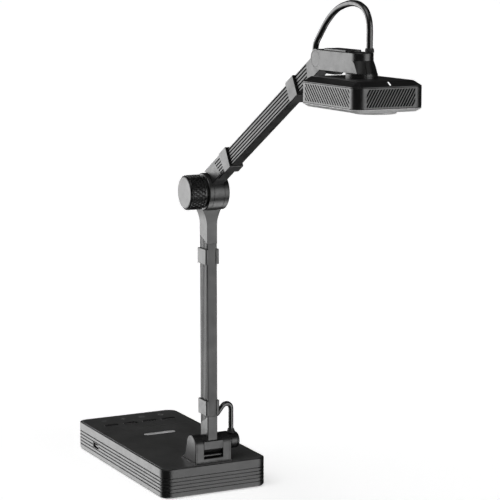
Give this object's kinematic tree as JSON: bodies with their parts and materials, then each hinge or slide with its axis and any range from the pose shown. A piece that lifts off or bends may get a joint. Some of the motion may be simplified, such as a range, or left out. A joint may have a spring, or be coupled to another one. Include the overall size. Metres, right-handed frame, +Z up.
{
  "type": "document camera",
  "caption": "Free-standing document camera: flat weighted base with buttons, tilting column, clamped elbow, raised arm and swivelling vented camera head with cables.",
  "frame": {"origin": "centre of the base's footprint, on the table surface", "axes": "+Z up; -Y towards the front, where the arm and head reach out; +X to the right across the base's short side"},
  "size_m": [0.11, 0.5363, 0.4743],
  "materials": {
    "black_satin": "satin black moulded plastic",
    "black_gloss": "semi-gloss black plastic panel",
    "button_black": "matt black plastic",
    "light_metal": "satin silver blank badge",
    "grey_print": "light grey print",
    "circuit_board": "green lacquered circuit board",
    "steel": "plated steel",
    "ballast_iron": "blackened steel weight",
    "rubber": "matt black rubber",
    "arm_black": "satin black glass-filled plastic",
    "tube_anodised": "black anodised extrusion",
    "washer_black": "black acetal",
    "cable_black": "smooth black cable jacket",
    "knob_black": "black knurled metal",
    "knob_disc": "fine turned dark grey disc",
    "head_black": "satin black moulded plastic",
    "head_grey": "satin dark grey moulded plastic",
    "brass": "turned brass",
    "light_pipe": "clear white light pipe",
    "glass": "coated glass",
    "diffuser": "opal diffuser"
  },
  "bodies": {
    "base": {"base_shell": "black_satin", "front_panel": "black_gloss", "rear_panel": "black_gloss", "badge_plate": "light_metal", "button_icons": "grey_print", "button_board": "circuit_board", "bottom_plate": "black_satin", "base_screws": "steel", "rubber_feet": "rubber", "ballast_plate": "ballast_iron", "main_board": "circuit_board", "side_port": "steel", "rear_port_video": "steel", "rear_port_data": "steel", "rear_port_power": "button_black", "hinge_housing": "arm_black", "hinge_cap_left": "arm_black", "hinge_cap_right": "arm_black", "cable_gland_lower": "rubber", "hinge_pin": "steel", "stop_bar": "steel", "hinge_backing_plate": "steel"},
    "key_1": {"button_1": "button_black"},
    "key_2": {"button_2": "button_black"},
    "key_3": {"button_3": "button_black"},
    "key_4": {"button_4": "button_black"},
    "column": {"column_foot": "arm_black", "column_tube": "tube_anodised", "column_clips": "arm_black", "column_yoke": "arm_black", "elbow_bolt": "steel", "elbow_washers": "washer_black", "lower_cable": "cable_black"},
    "knob": {"elbow_knob": "knob_black", "knob_face": "knob_disc"},
    "arm": {"arm_lower_fitting": "arm_black", "arm_tube": "tube_anodised", "arm_clip": "arm_black", "arm_head_fitting": "arm_black", "cable_gland_top": "rubber", "top_cable": "cable_black"},
    "head_bracket": {"bracket": "head_black", "bracket_cover": "head_black", "boss_caps": "head_black", "head_hinge_pin": "steel", "cable_boot": "rubber"},
    "head": {"head_neck": "head_black", "swivel_nut": "brass", "head_top": "head_black", "status_light": "light_pipe", "head_band": "head_black", "head_bottom": "head_grey", "head_screws": "steel", "lens_ring": "head_grey", "lens_glass": "glass", "lens_barrel": "button_black", "lens_element": "glass", "sensor_board": "circuit_board", "lamp_window": "diffuser", "lamp_board": "circuit_board"}
  },
  "joints": [
    {"name": "column_tilt", "type": "hinge", "parent": "base", "child": "column", "pos_m": [0, -0.0945, 0.046], "axis": [-1, 0, 0], "range_deg": [-20, 90], "deforming": ["lower_cable"]},
    {"name": "elbow", "type": "hinge", "parent": "column", "child": "arm", "pos_m": [0, -0.1025, 0.291], "axis": [-1, 0, 0], "range_deg": [-60, 60]},
    {"name": "knob_turn", "type": "hinge", "parent": "column", "child": "knob", "pos_m": [-0.02, -0.1025, 0.291], "axis": [-1, 0, 0], "range_deg": [-180, 180]},
    {"name": "head_tilt", "type": "hinge", "parent": "arm", "child": "head_bracket", "pos_m": [0, -0.3202, 0.42593], "axis": [1, 0, 0], "range_deg": [-60, 55], "deforming": ["top_cable"]},
    {"name": "head_swivel", "type": "hinge", "parent": "head_bracket", "child": "head", "pos_m": [0, -0.38, 0.4174], "axis": [0, 0, 1], "range_deg": [-90, 90]},
    {"name": "press_1", "type": "slide", "parent": "base", "child": "key_1", "axis": [0, 0, -1], "range_m": [0, 0.0007], "stiffness_N_per_m": 1500},
    {"name": "press_2", "type": "slide", "parent": "base", "child": "key_2", "axis": [0, 0, -1], "range_m": [0, 0.0007], "stiffness_N_per_m": 1500},
    {"name": "press_3", "type": "slide", "parent": "base", "child": "key_3", "axis": [0, 0, -1], "range_m": [0, 0.0007], "stiffness_N_per_m": 1500},
    {"name": "press_4", "type": "slide", "parent": "base", "child": "key_4", "axis": [0, 0, -1], "range_m": [0, 0.0007], "stiffness_N_per_m": 1500}
  ]
}
